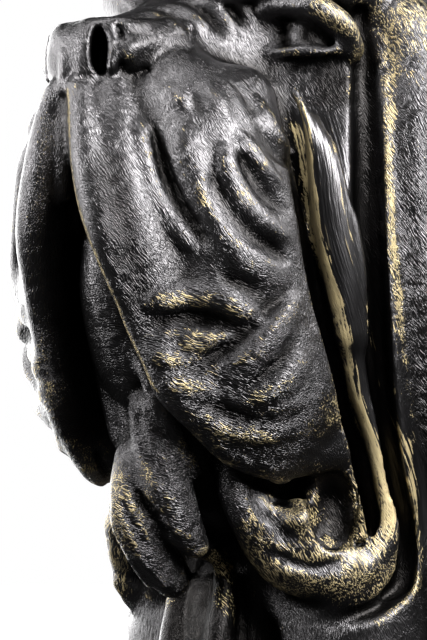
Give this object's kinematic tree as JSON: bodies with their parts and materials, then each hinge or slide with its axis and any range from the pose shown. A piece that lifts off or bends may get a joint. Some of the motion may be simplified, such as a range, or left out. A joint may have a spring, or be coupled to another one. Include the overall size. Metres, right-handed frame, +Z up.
{
  "type": "dog head statue",
  "caption": "Cast bronze head of a heavily wrinkled mastiff with hanging flews, deep cheek folds and loose throat skin, cut flat at the neck.",
  "frame": {"origin": "centre of the box around the head, at the flat cut under the neck", "axes": "the dog faces -Y, its left side is +X, +Z is up"},
  "size_m": [0.2457, 0.3063, 0.4005],
  "materials": {
    "bronze": "cast bronze with a satin black-brown patina, rubbed to pale gold on the crests of the folds, with fine chased fur strokes"
  },
  "bodies": {
    "root": {"head": "bronze"}
  },
  "joints": []
}
